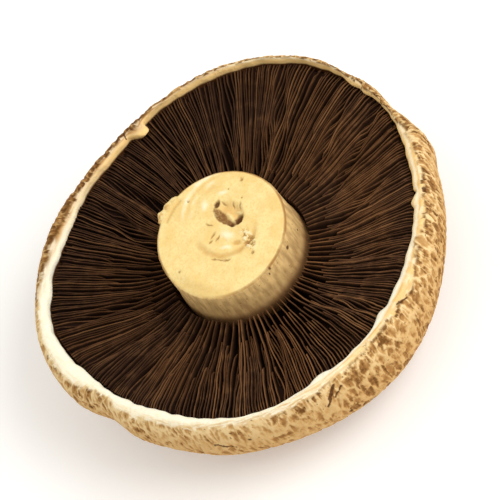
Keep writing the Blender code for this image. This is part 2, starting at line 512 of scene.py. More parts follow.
def skin_spots(sheet, wall, marks, core, soft_edge):
    """How much of a spot there is at each place of the skin's wall."""
    marks = [(wall_place(degrees, down), across, along) for degrees, down, across, along in marks]
    return spots(sheet, wall, marks, core, soft_edge)


def skin_slits(sheet, wall):
    """How much of a slit there is at each place of the skin's wall."""
    amount = 0.0
    for degrees, down, end_degrees, end_down, half_width in SKIN_SLITS:
        start = Vector(wall_place(degrees, down))
        way = Vector(wall_place(end_degrees, end_down)) - start
        away = sheet.vector("SUBTRACT", wall, start)
        share = clamped(sheet.vector("DOT_PRODUCT", away, way).output("Value") / way.length_squared)
        off = sheet.distance(away, sheet.scaled(way, share))
        amount = amount + 1 - smooth_step(half_width * 0.6 * MM, half_width * 1.3 * MM, off)
    return clamped(amount)


def skin_pattern(sheet):
    """The skin: brown hollows in a pale net of split flesh, how brown they are, and the bare margin."""
    wall = sheet.place("wall")
    down = sheet.number("down")
    streak = sheet.noise(sheet.vector("MULTIPLY", wall, (1.0, 1.0, 0.3)), 1.1 * MM, 3.0, 0.55)
    grain = sheet.noise(wall, 1.0 * MM, 3.0, 0.55)
    region = sheet.noise(wall, 9 * MM, 2.0)
    crown = smooth_step(11 * MM, 34 * MM, down)
    bent_wall = sheet.shifted(wall, 0.8 * MM, 0.35 * MM)
    blotch = skin_spots(sheet, bent_wall, SKIN_BLOTCHES, 0.4, 1.15)
    scaly = clamped(sheet.number("scaly") + (region - 0.5) * 1.4 + crown * 0.5 + blotch * 0.5)
    flow = sheet.vector("MULTIPLY", sheet.place("flow"), (1.0, 1.0, 0.78))
    bent = sheet.shifted(sheet.shifted(flow, 5.0 * MM, 1.8 * MM), 1.3 * MM, 0.5 * MM)
    cell_size = 1.75 * MM
    inputs = {"Vector": bent, "Scale": 1 / cell_size}
    cell = sheet.node("ShaderNodeTexVoronoi", {}, inputs)
    gap = sheet.node("ShaderNodeTexVoronoi", {"feature": "DISTANCE_TO_EDGE"}, inputs)
    draw = sheet.parts(cell.output("Color"))[0]
    behind = (sheet.parts(bent)[2] - sheet.parts(cell.output("Position"))[2]) / cell_size
    spread = gap + (0.5 - cell) * 0.25 + (grain - 0.5) * 0.35 + (streak - 0.5) * 0.42
    hollow = smooth_step(-0.14, 0.44, spread + (scaly - 0.5) * 0.16 + blotch * 0.15)
    depth = clamped(draw * 0.7 + (scaly - 0.5) * 1.1 + blotch * 0.2 + 0.22)
    # The margin's edge is torn along the strands
    tear = sheet.number("band") + (streak - 0.5) * (1.1 * MM) + (region - 0.5) * (1.5 * MM)
    tear = tear + (draw - 0.5) * (1.3 * MM)
    band = smooth_step(-0.6 * MM, 0.5 * MM, tear)
    bent_slightly = sheet.shifted(sheet.shifted(wall, 1.4 * MM, 0.45 * MM), 0.6 * MM, 0.15 * MM)
    hole = skin_spots(sheet, bent_slightly, SKIN_HOLES, 0.5, 1.1)
    hole = clamped(hole + skin_slits(sheet, bent_slightly))
    return SimpleNamespace(
        wall=wall, down=down, band=band, tear=tear, hole=hole, streak=streak, grain=grain,
        region=region, scaly=scaly, hollow=hollow * (1 - band), depth=depth, behind=behind,
    )


def cap_line():
    """The cap's section from the crown round the margin and under the gills, and where along it it turns."""
    turn = quarter_turn(160)
    reach = np.sin(turn) ** (2 / SHOULDER_FULLNESS)
    rise = 1 - np.cos(turn) ** (2 / SHOULDER_FULLNESS)
    crest_radius = (CAP_RADIUS + GILL_RADIUS) / 2
    lip_height = gill_edge_height(GILL_RADIUS)
    lip_radius = GILL_RADIUS + JOINT_GAP
    outer_reach = CAP_RADIUS - crest_radius
    outer_rise = CAP_DEPTH - WIDEST_HEIGHT
    inner_reach = crest_radius - lip_radius
    inner_fall = CAP_DEPTH - lip_height
    quarter = quarter_turn(24)[1:]
    shown = [(0.0, 0.0)]
    shown += [(REST_RADIUS + (CAP_RADIUS - REST_RADIUS) * a, WIDEST_HEIGHT * b) for a, b in zip(reach, rise)]
    widest = len(shown) - 1
    shown += [
        (crest_radius + outer_reach * math.cos(t), WIDEST_HEIGHT + outer_rise * math.sin(t)) for t in quarter
    ]
    crest = len(shown) - 1
    shown += [
        (crest_radius - inner_reach * math.sin(t), lip_height + inner_fall * math.cos(t)) for t in quarter
    ]
    reached = np.concatenate([[0.0], np.cumsum(np.hypot(*np.diff(np.array(shown), axis=0).T))])
    radius, height, length = even_steps(shown, 0.56 * MM)
    hidden = np.concatenate([np.linspace(lip_radius, 0.0, 14)[:-1], [0.0]])
    radius = np.concatenate([radius, hidden])
    height = np.concatenate([height, flesh_height(hidden) - JOINT_GAP])
    length = np.concatenate([length, np.full(len(hidden), length[-1] + 3 * MM)])
    return radius, height, length, reached[widest], reached[crest], reached[-1]


def local_bumps(bumps, angle):
    """The sum of single bumps, each an angle and half a width in degrees, and a height in millimetres."""
    total = 0 * angle
    for degrees, half_width, height in bumps:
        off = np.abs((np.degrees(angle) - degrees + 180) % 360 - 180) / half_width
        total = total + height * MM * smooth_step(0, 1, 1 - off)
    return total


def make_cap_carrier(columns):
    """The cap before its relief, with the places that its patterns are drawn on."""
    radius, height, length, widest, crest, lip = cap_line()
    angle, radius, height, length = round_grid(columns, radius, height, length)
    flow_radius = np.sqrt(radius * CAP_RADIUS)
    flesh = length > lip + 1 * MM
    skin = ~flesh
    skin_share = np.where(
        length > widest,
        smooth_step(GILL_RADIUS, CAP_RADIUS, radius),
        smooth_step(REST_RADIUS, SKIN_FULL_RADIUS, radius),
    )
    relief_room = 0.35 * MM
    outline = wave_sum(SKIN_WAVES, angle) - relief_room + local_bumps(SKIN_BUMPS, angle)
    share_up = height / WIDEST_HEIGHT
    low = smooth_step(0.1, 0.45, share_up) * (1 - smooth_step(0.6, 1.0, share_up)) * (length < widest)
    radius_out = radius + (outline * skin_share + local_bumps(LOW_BUMPS, angle) * low) * skin
    # The lip's raggedness, and the flap of torn veil that lies in over the gills
    near_lip = smooth_step(crest, lip, length)
    ragged_waves = ((13, 0.13, 0.7), (23, 0.1, 2.0), (34, 0.1, 4.1), (53, 0.08, 1.1), (79, 0.07, 0.3))
    ragged = wave_sum(ragged_waves, angle) * MM * skin
    ragged = ragged - local_bumps(LIP_POINTS, angle) * skin
    radius_out = radius_out + near_lip * (wave_sum(LIP_WAVES, angle) + ragged)
    flap_middle, flap_half_width, flap_slant = 92.5, 2.4, -2.2
    flap_reach, flap_lift = 5.0 * MM, 1.9 * MM
    flap = near_lip * skin * np.exp(-(((np.degrees(angle) - flap_middle) / flap_half_width) ** 4))
    radius_out = radius_out - flap_reach * flap
    flap_turn = math.radians(flap_slant) * near_lip * flap
    crest_width = 2.5 * MM
    near_crest = np.exp(-(((length - crest) / crest_width) ** 2)) * skin
    crest_waves = ((17, 0.1 * MM, 0.9), (31, 0.08 * MM, 2.2), (47, 0.06 * MM, 0.2))
    lowered = 0.3 * MM
    height_out = height + near_crest * (wave_sum(crest_waves, angle) - lowered) + flap_lift * flap
    x, y, z = warp(radius_out, angle + flap_turn, height_out, flesh)
    band_width = np.interp(np.degrees(angle), *np.array(BAND_WIDTHS).T, period=360) * MM
    down = lip - length
    numbers = {
        "wall": np.stack([CAP_RADIUS * np.cos(angle), CAP_RADIUS * np.sin(angle), down], axis=-1),
        "flow": np.stack([flow_radius * np.cos(angle), flow_radius * np.sin(angle), 0.5 * length], axis=-1),
        "down": down,
        "band": band_width - down,
        "scaly": np.interp(np.degrees(angle), *np.array(SKIN_TONES).T, period=360),
        "grip": smooth_step(0.5 * MM, 4 * MM, height) * skin,
        "shown": 1.0 * skin,
    }
    return round_mesh("cap_carrier", np.stack([x, y, z], axis=-1), numbers)


def cap_shape():
    """The tree that raises the scales, cuts the cracks between them and roughens the margin."""
    tree = ShapeTree("Cap relief", {"Scale height": "Float", "Crack depth": "Float"})
    skin = skin_pattern(tree)
    grip = tree.number("grip")
    shown = tree.number("shown")
    under_edge = clamped(skin.behind + 0.6)
    bare = 1 - skin.band
    net = (1 - skin.hollow) * bare
    raised = (net + skin.hollow * under_edge * 0.7 * skin.depth) * grip * tree.input("Scale height")
    cut = (skin.hollow * skin.depth * (1 - under_edge)) * tree.input("Crack depth") * shown
    along_rim = tree.vector("MULTIPLY", skin.wall, (0.25, 0.25, 1.0))
    ripple = (tree.noise(along_rim, 0.9 * MM, 3.0) - 0.5) * (0.5 * MM) * skin.band * shown
    pit = skin.hole * (0.3 * MM) * shown
    offset = tree.scaled(tree.node("GeometryNodeInputNormal"), raised - cut + ripple - pit)
    tree.end(tree.input("Mesh"), {"Offset": offset})
    return tree


def cap_material(colours):
    material, sheet = new_material("cap_skin")
    skin = skin_pattern(sheet)
    wall, down, band = skin.wall, skin.down, skin.band
    texture = (skin.streak - 0.5) * 1.6 + (skin.grain - 0.5) * 0.8
    # The part of the margin that leans away is browner: brown streaks, and painted shade where it faces away
    # from the light
    streaks_and_shade = 1 - smooth_step(22 * MM, 50 * MM, sheet.distance(wall, wall_place(105, 2.0)))
    # Soft golden hollows in a pale net, and darker strands in them
    # Darker away from the lip (limb, and the far split skin below): painted shade where the side turns from
    # the light
    limb = smooth_step(8 * MM, 18 * MM, down)
    soft = skin.hollow * (skin.depth * 0.6 + 0.4) + texture * 0.35 + limb * 0.2 + streaks_and_shade * 0.3 + 0.06
    dark = smooth_step(0.0, 0.6, texture + skin.depth * 0.6 - 0.34 + streaks_and_shade * 0.1)
    dark = dark * smooth_step(0.15, 0.7, skin.hollow)
    scales = sheet.layered(
        colours.ground_light,
        (smooth_step(4 * MM, 13 * MM, down), colours.ground_far),
        (smooth_step(0.0, 0.5, soft), colours.ground_deep),
        (smooth_step(0.35, 1.0, soft), colours.scale_light),
        (dark * 0.85, colours.scale_dark),
    )
    # The bare margin: pale at the lip, and tan toward the skin
    along_rim = sheet.vector("MULTIPLY", wall, (0.2, 0.2, 1.0))
    grain = sheet.noise(along_rim, 0.7 * MM, 4.0, 0.6)
    wander = (skin.region - 0.5) * (2 * MM)
    away_from_lip = smooth_step(2.0 * MM, 4.8 * MM, down + wander)
    deep = clamped(smooth_step(0.42, 0.72, grain) * (away_from_lip * 0.7 + 0.15) + away_from_lip * 0.25)
    tan = smooth_step(3.0 * MM, 5.0 * MM, down + wander) * smooth_step(0.4, 0.62, grain)
    # It is whitest on one side, and more golden on the other, with a golden line past the lip
    off_white = sheet.distance(wall, wall_place(172, 2.0))
    patches = smooth_step(0.35, 0.6, sheet.noise(wall, 3.0 * MM, 3.0)) * 0.55 + 0.4
    past_lip = smooth_step(1.9 * MM, 3.0 * MM, down + wander * 0.4)
    warmth = smooth_step(66 * MM, 96 * MM, off_white) * patches * past_lip
    line = 1 - smooth_step(0.0, 0.6 * MM, (down + wander * 0.5 - 3.0 * MM).math("ABSOLUTE"))
    line = line * smooth_step(60 * MM, 92 * MM, off_white) * (smooth_step(0.4, 0.6, grain) * 0.5 + 0.3)
    # Brown streaks and painted shade over the margin where the cap leans away, and a golden lip there:
    # painted warm shade on the lip's inner slope, which turns from the light
    shaded_lip = 1 - smooth_step(58 * MM, 90 * MM, sheet.distance(wall, wall_place(38, 1.0)))
    shaded_lip = shaded_lip * (1 - smooth_step(0.8 * MM, 3.0 * MM, down + wander * 0.4))
    strands = sheet.noise(along_rim, 1.1 * MM, 3.0)
    outer = smooth_step(1.0 * MM, 2.2 * MM, down + wander * 0.6)
    outer = outer * (smooth_step(0.36, 0.6, strands) * 0.6 + 0.4)
    outermost = smooth_step(1.8 * MM, 2.9 * MM, down + wander * 0.6) * smooth_step(0.4, 0.56, strands)
    margin = sheet.layered(
        colours.margin_light,
        (deep, colours.margin_deep),
        (warmth, colours.margin_gold),
        (line, colours.margin_line),
        (tan * 0.55, colours.ground_deep),
        (shaded_lip * 0.85, colours.lip_shade_gold),
        (streaks_and_shade * outer, colours.streaks_and_shade),
        (streaks_and_shade * outermost * 0.85, colours.scale_dark),
    )
    # A brown line where the margin's edge is torn, specks, holes with painted shade inside them, and painted
    # shade where the lip meets the gills
    torn = 1 - smooth_step(0.0, 0.8 * MM, (skin.tear + 0.4 * MM).math("ABSOLUTE"))
    torn = torn * smooth_step(0.35, 1.0, skin.scaly + texture * 0.6)
    specks = smooth_step(0.7, 0.76, sheet.noise(wall, 1.1 * MM, 1.0)) * (1 - band)
    colour = sheet.layered(
        scales,
        (band, margin),
        (torn * 0.8, colours.scale_dark),
        (specks * 0.7, colours.crevice),
        (skin.hole * 0.9, colours.pit),
        (1 - smooth_step(-0.9 * MM, -0.1 * MM, down), colours.pit),
    )
    height = skin.streak * 0.5 + skin.grain * 0.6 - skin.hollow * skin.depth * 0.4
    finish_material(sheet, colour, 0.85, height, 0.4 * MM, soft_light=0.06, gloss=0.04)
    return material


class CapSettings(bpy.types.PropertyGroup):
    columns: IntProperty(name="Columns", description="Faces round the cap", default=636, min=64, max=640)
    scale_height: size_setting("Scale height", "How far the scales stand off the skin", 0.35 * MM)
    crack_depth: size_setting("Crack depth", "How deep the skin is split between its scales", 0.3 * MM)
    margin_light: colour_setting("Margin", "The rolled margin", 255, 249, 226)
    margin_line: colour_setting("Margin line", "The golden line outside the lip", 222, 176, 104)
    margin_gold: colour_setting("Margin, golden", "The margin on its golden side", 240, 202, 132)
    # Painted warm shade on the lip's inner slope
    lip_shade_gold: colour_setting("Lip, golden", "The lip where it turns from the light", 252, 206, 122)
    margin_deep: colour_setting("Margin grain", "The margin's grain", 238, 208, 150)
    # Brown streaks, and painted shade where the margin faces away from the light
    streaks_and_shade: colour_setting("Stain", "Where the margin is stained", 206, 156, 90)
    ground_light: colour_setting("Split skin", "The flesh between the scales", 236, 208, 156)
    # Painted shade: the split skin darker away from the lip
    ground_far: colour_setting("Split skin, far", "The same away from the lip", 212, 178, 124)
    ground_deep: colour_setting("Split skin, deep", "The darker flesh between the scales", 202, 161, 104)
    scale_light: colour_setting("Scale", "The scales' paler strands", 166, 120, 68)
    scale_dark: colour_setting("Scale, dark", "The scales' darker strands", 92, 56, 24)
    crevice: colour_setting("Crevice", "The shade under a scale", 78, 44, 20)
    # Painted shade inside holes and slits, and where the lip meets the gills
    pit: colour_setting("Pit", "The inside of a hole", 80, 46, 22)


class MUSHROOM_OT_cap(bpy.types.Operator):
    """Make the cap: scaly skin, rolled margin and the flesh under the gills"""

    bl_idname = "mushroom.cap"
    bl_label = "Cap"

    def execute(self, context):
        settings = context.scene.mushroom_cap
        carrier = make_cap_carrier(settings.columns)
        values = {"Scale height": settings.scale_height, "Crack depth": settings.crack_depth}
        cap = cap_shape().grow("cap_skin", carrier, cap_material(settings), values)
        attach(cap, "root")
        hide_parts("cap")
        return {"FINISHED"}


# Creases where the gills part: the angle round the cap in degrees, how far it turns by the margin, and
# the radii that it runs between in millimetres
GILL_CREASES = (
    (8, 12, 24, 46), (-8, 16, 26, 50), (-27, 10, 20, 44), (-48, -4, 30, 50), (-78, 6, 22, 46),
    (-104, -5, 26, 50), (-128, 4, 18, 42), (-150, -3, 19, 50), (-164, 5, 19, 50), (-176, -4, 24, 50),
    (158, 8, 28, 50), (128, -10, 22, 46), (104, 6, 20, 50), (88, -5, 24, 44), (66, -8, 18, 48),
    (49, -10, 20, 40), (34, 9, 26, 50),
)


def crease_push(turn, radius):
    """How far, as an angle, the creases push a gill aside, and how deep in a crease it is."""
    crease_width = 1.25 * MM
    push = 0.0
    depth = 0.0
    for degrees, bend, start, end in GILL_CREASES:
        way = (radius - start * MM) * (math.radians(bend) / ((end - start) * MM)) + math.radians(degrees)
        off = (turn - way).math("WRAP", math.pi, -math.pi) * radius / crease_width
        runs = smooth_step((start - 3) * MM, (start + 3) * MM, radius)
        runs = runs * (1 - smooth_step((end - 5) * MM, (end + 3) * MM, radius))
        near = (off * off * -1.0).math("EXPONENT") * runs
        push = push + off * near
        depth = depth + near
    return push * crease_width / radius, clamped(depth)


def gill_shape():
    """The tree that stands blades on the gill bed, full and short ones in turn, bent and bunched."""
    inputs = {"Gills": "Int", "Thickness": "Float", "Bunching": "Float", "Seed": "Int"}
    tree = ShapeTree("Gill blades", inputs)
    points = tree.node("GeometryNodePoints", {}, {"Count": tree.input("Gills")})
    blade = tree.node("GeometryNodeMeshCube", {}, {"Vertices X": 16, "Vertices Y": 2, "Vertices Z": 2})
    stood = tree.node("GeometryNodeInstanceOnPoints", {}, {"Points": points, "Instance": blade})
    numbered = tree.stored(stood, "INSTANCE", "number", tree.node("GeometryNodeInputIndex"))
    loose = tree.node("GeometryNodeRealizeInstances", {}, {"Geometry": numbered})
    number = tree.number("number")
    x, y, z = tree.parts(tree.node("GeometryNodeInputPosition"))
    along = x + 0.5
    side = y
    up = z + 0.5
    seed = tree.input("Seed")

    def drawn(low, high, round_number):
        """A number drawn once for each gill."""
        inputs = {"Min": low, "Max": high, "ID": number, "Seed": seed + round_number}
        return tree.node("FunctionNodeRandomValue", {"data_type": "FLOAT"}, inputs)

    # Every fourth gill is a full one, one starts part of the way out, and the two between still further
    rank = number.math("MODULO", 4.0)
    full = rank.math("LESS_THAN", 0.5)
    middle = rank.math("COMPARE", 2.0, 0.1)
    short = 1 - full - middle
    turn = (number + drawn(-0.25, 0.25, 3)) * math.tau / tree.input("Gills")
    inner_end = STEM_RADIUS - 0.4 * MM
    outer_end = wave_sum(LIP_WAVES, turn) + (GILL_RADIUS - 0.1 * MM)
    start = full * inner_end + middle * drawn(17 * MM, 21 * MM, 1) + short * drawn(18 * MM, 33 * MM, 2)
    radius = start + along * (outer_end - start)
    ring_place = tree.join(
        cosine(turn) * GILL_RADIUS, sine(turn) * GILL_RADIUS, radius * 0.5 + drawn(-0.4 * MM, 0.4 * MM, 4)
    )
    swirl = (tree.noise(ring_place, 36 * MM, 1.0) - 0.5) * 0.3
    bunch = (tree.noise(ring_place, 7 * MM, 1.0) - 0.5) * tree.input("Bunching")
    waver_place = tree.join(number * 5.3, radius / MM, 0.0)
    waver = (tree.noise(waver_place, 4.0, 1.0) - 0.5) * (0.5 * MM) / radius
    sway = sine(turn * GILL_SWAY_WAVES) * sine(radius * (math.pi / GILL_RADIUS)) * GILL_SWAY
    push, crease = crease_push(turn, radius)
    lean = (swirl + bunch + push) * (up * 0.4 + 0.6) + waver * up
    thickness = tree.input("Thickness") * (1.5 - up * 0.5)
    angle = turn + sway + lean + side * thickness / radius
    root_height = flesh_height(radius)
    by_stem = (1 - smooth_step(17 * MM, 30 * MM, radius)) * (2.0 * MM)
    tall = gill_edge_height(radius) + by_stem - root_height - 0.2 * MM
    dip = drawn(0.0, 1.0, 5) ** 4 * (1.2 * MM) + crease * (0.8 * MM)
    full_rise, short_rise = 0.3 * MM, 7 * MM
    rise_length = full * full_rise + (1 - full) * short_rise
    inner_rise = smooth_step(0.0, 1.0, (radius - start) / rise_length)
    outer_rise = smooth_step(0.0, 0.9 * MM, outer_end - radius) * 0.15 + 0.85
    sunk = 0.15
    reached = up * (inner_rise * outer_rise - sunk) + sunk
    nick = (tree.noise(ring_place, 2.2 * MM, 2.0) - 0.5) * (0.7 * MM) - dip
    height = root_height + reached * tall + nick * up
    place = tree.join(*warp(radius, angle, height, 1.0))
    for label, value in {"rise": up, "tone": drawn(0.0, 1.0, 6)}.items():
        loose = tree.stored(loose, "POINT", label, value)
    tree.end(loose, {"Position": place})
    return tree


def make_gill_bed():
    """The ring of flesh that the blades stand on, filling the gaps between them up to part of their height;
    its dark colour is painted shade.
    """
    reach = np.linspace(STEM_RADIUS + STEM_GROOVE, GILL_RADIUS - JOINT_GAP, 16)
    bed_share = 0.69
    root_line = flesh_height(reach)
    top = root_line + bed_share * (gill_edge_height(reach) - root_line)
    radius = np.concatenate([reach, reach[::-1]])
    height = np.concatenate([root_line, top[::-1]])
    angle, radius, height = round_grid(240, radius, height)
    points = np.stack(warp(radius, angle, height, 1.0), axis=-1)
    return round_mesh("gill_bed", points, {"rise": 0 * radius, "tone": 0 * radius}, poles=False)


def gill_material(colours):
    material, sheet = new_material("gill_flesh")
    spot = sheet.node("ShaderNodeTexCoord").output("Object")
    rise = sheet.number("rise")
    tone = sheet.number("tone")
    region = smooth_step(0.4, 0.62, sheet.noise(spot, 26 * MM, 2.0))
    mottle = sheet.noise(spot, 3.0 * MM, 3.0)
    # Painted shade: darker on the side away from the light, and the painted shade between the gills a little
    # paler on the near side
    x, y, _ = sheet.parts(spot)
    far = 1 - smooth_step(-30 * MM, 25 * MM, x * 0.5 - y * 0.87)
    near = smooth_step(8 * MM, 34 * MM, x * 0.77 - y * 0.64)
    edge = sheet.layered(
        colours.edge_warm,
        (region, colours.edge_grey),
        (tone * tone * 0.6, colours.deep),
        (smooth_step(0.22, 0.0, tone) * 0.8, colours.edge_pale),
        (smooth_step(0.5, 0.7, mottle) * 0.35, colours.edge_pale),
        (smooth_step(0.5, 0.3, mottle) * 0.4, colours.deep),
        (far * 0.42, colours.deep),
    )
    # Below the free edges, the blades' sides and the bed take the dark colours: painted shade down between
    # the gills
    colour = sheet.mix(rise**13, sheet.mix(near, colours.deep, colours.near_gap_shade), edge)
    finish_material(sheet, colour, 0.8, mottle, 0.1 * MM, gloss=0.06)
    return material


class GillSettings(bpy.types.PropertyGroup):
    count: IntProperty(
        name="Gills", description="Blades at the margin, full and short ones together", default=420, min=40
    )
    thickness: size_setting("Thickness", "How thick a blade's edge is", 0.27 * MM)
    bunching: FloatProperty(
        name="Bunching", description="How far gills crowd together and part again", default=0.045
    )
    seed: IntProperty(name="Seed", description="Which of the random draws is used", default=11)
    edge_warm: colour_setting("Edge", "The gills' free edges", 100, 66, 39)
    edge_grey: colour_setting("Edge, grey", "The free edges where they are greyer", 84, 57, 38)
    edge_pale: colour_setting("Edge, pale", "Palest flecks on the free edges", 134, 94, 60)
    # Painted shade down between the gills, and the same a little paler on the near side
    deep: colour_setting("Deep", "Down between the gills", 34, 19, 12)
    near_gap_shade: colour_setting("Deep, pale", "The same on the near side", 42, 25, 15)


class MUSHROOM_OT_gills(bpy.types.Operator):
    """Make the gills: the bed they grow from, and every blade on it"""

    bl_idname = "mushroom.gills"
    bl_label = "Gills"

    def execute(self, context):
        settings = context.scene.mushroom_gills
        material = gill_material(settings)
        bed_mesh = make_gill_bed()
        bed_mesh.materials.append(material)
        bed = bpy.data.objects.new("gill_bed", bed_mesh)
        context.scene.collection.objects.link(bed)
        values = {
            "Gills": settings.count,
            "Thickness": settings.thickness,
            "Bunching": settings.bunching,
            "Seed": settings.seed,
        }
        blades = gill_shape().grow("gill_blades", bpy.data.meshes.new("no_mesh"), material, values)
        for piece in (bed, blades):
            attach(piece, "root")
            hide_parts("gills")
        return {"FINISHED"}


# Marks on the stem's cut face. Each is an oval: its centre, how far it reaches along and across, all in
# millimetres from the stem's middle, the way its long axis points in degrees, and how soft its edge is.
CUT_CRACKS = (
    (-2.0, 0.8, 1.5, 0.45, 13, 0.9), (-1.6, -0.7, 1.5, 0.45, 20, 0.9), (-3.6, -0.2, 1.0, 0.5, 10, 0.9),
    (-1.2, 3.9, 1.7, 0.3, -60, 0.9), (-4.4, -6.3, 2.2, 0.4, -40, 0.7),
    (-3.2, -7.6, 1.2, 0.35, -20, 0.7), (-5.6, -4.9, 1.0, 0.35, -50, 0.8),
    (2.9, -10.2, 0.7, 0.55, 0, 0.8), (12.2, 8.4, 0.8, 0.6, 40, 0.8), (-1.6, 13.3, 0.6, 0.5, 0, 0.8),
    (-14.3, -1.0, 0.6, 0.6, 0, 0.8), (8.3, 8.6, 0.5, 0.3, 60, 0.9), (9.6, 4.0, 0.45, 0.35, 0, 0.9),
)
# The dark ends of the hollow and its brown near wall, both painted shade inside the hollow, the strands in
# it, and the pale fold that crosses it
CUT_TEETH = ((3.7, 7.4, 1.4, 0.9, 30, 0.6), (5.7, -0.2, 1.9, 1.2, 58, 0.5), (3.2, 0.0, 1.3, 0.8, -60, 0.8))
CUT_WALL = ((2.4, 4.0, 4.8, 1.5, -82, 0.5), (3.4, 0.6, 2.6, 1.3, -50, 0.7), (5.2, -0.2, 1.9, 1.3, -20, 0.8))
CUT_STRANDS = ((6.9, 4.2, 1.2, 0.35, 55, 0.9), (8.0, 2.7, 1.4, 0.4, 44, 0.9), (5.2, 6.4, 1.3, 0.4, -70, 0.9))
CUT_FOLD = ((4.3, 1.9, 2.7, 0.75, -86, 0.8), (6.6, 1.6, 1.6, 0.5, -70, 0.9))
CUT_PALE = (
    (1.0, -1.9, 2.9, 1.8, -60, 1.0), (0.9, 8.9, 2.3, 1.2, 55, 1.0), (6.7, 8.6, 1.9, 0.9, -30, 1.0),
    (-1.3, -4.3, 2.4, 0.8, -42, 1.0),
)


def marks(x, y, ovals):
    """1 in each of those ovals, and 0 outside them."""
    return clamped(sum(oval(x, y, spot[:2], *spot[2:]) for spot in ovals))


def flat_distance(x, y, centre):
    """How far a point is from a centre given in millimetres."""
    dx = x - centre[0] * MM
    dy = y - centre[1] * MM
    return root(dx * dx + dy * dy)


def ring(distance, radius, width):
    """1 on a circle, falling to 0 at that width from it."""
    return 1 - smooth_step(0.0, width * MM, (distance - radius * MM).math("ABSOLUTE"))


def cut_pattern(sheet):
    """The cut face of the stem, by its own millimetres from the middle, and what is on it."""
    face = sheet.place("face")
    bent = sheet.shifted(sheet.shifted(face, 1.1 * MM, 0.35 * MM), 3.0 * MM, 0.6 * MM)
    x, y, _ = sheet.parts(bent)
    top = sheet.number("cut")
    pit_centre = (4.7, 3.0)
    pit = oval(x, y, pit_centre, along=4.6, across=3.5, turn=-74, soft=0.5)
    inside = oval(x, y, pit_centre, along=4.9, across=3.8, turn=-74, soft=0.15)
    crumbs = oval(x, y, (4.3, -6.6), along=4.6, across=2.1, turn=-100, soft=0.7)
    crumb_noise = sheet.noise(face, 1.5 * MM, 3.0, 0.7)
    smile_distance = flat_distance(x, y, (1.6, 0.3))
    below = smooth_step(-1 * MM, 4 * MM, -(x * 0.45 + y))
    away = flat_distance(x, y, pit_centre)
    broken = smooth_step(0.42, 0.6, sheet.noise(face, 3.5 * MM))
    upper = smooth_step(2 * MM, 7 * MM, x * 0.63 + y * 0.66)
    upper = upper * smooth_step(4 * MM, -2 * MM, x * 0.78 - y * 0.54)
    swirl = ring(away, 10.2, 0.9) * broken * 0.6 + ring(away, 12.4, 0.9) * (broken * 0.5 + 0.5)
    swirl = clamped(swirl) * upper
    shade = clamped(ring(away, 9.0, 1.2) * broken + ring(away, 11.3, 0.7)) * upper * 0.7
    shade = shade + ring(smile_distance, 7.2, 1.0) * below * 0.5
    # The long crease under the hollow: partly a brown line, partly painted shade along it
    smile = ring(smile_distance, 7.8, 1.15) * below * (broken * 0.3 + 0.7)
    smile = clamped(smile + oval(x, y, (1.4, -5.2), 1.9, 0.9, -43, 0.8))
    cracks = marks(x, y, CUT_CRACKS) + crumbs * smooth_step(0.5, 0.44, crumb_noise)
    return SimpleNamespace(
        top=top,
        pit=pit * top,
        fold=marks(x, y, CUT_FOLD) * top,
        wall=marks(x, y, CUT_WALL) * inside * top,
        strands=marks(x, y, CUT_STRANDS) * top,
        teeth=marks(x, y, CUT_TEETH) * top,
        pale=clamped(marks(x, y, CUT_PALE) + swirl) * top,
        cracks=clamped(cracks) * top,
        crumbs=crumbs * smooth_step(0.5, 0.57, crumb_noise) * top,
        shade=clamped(shade) * top,
        smile=smile * top,
        crumb_noise=crumb_noise,
    )


# Dark spots on the stem: the angle round it in degrees, and the height and the reach across and along
STEM_MARKS = ((-52, 34.6, 0.75, 0.8), (-77, 36.9, 0.5, 1.3), (-80, 35.2, 0.35, 0.7), (-28, 31.0, 0.4, 0.5))


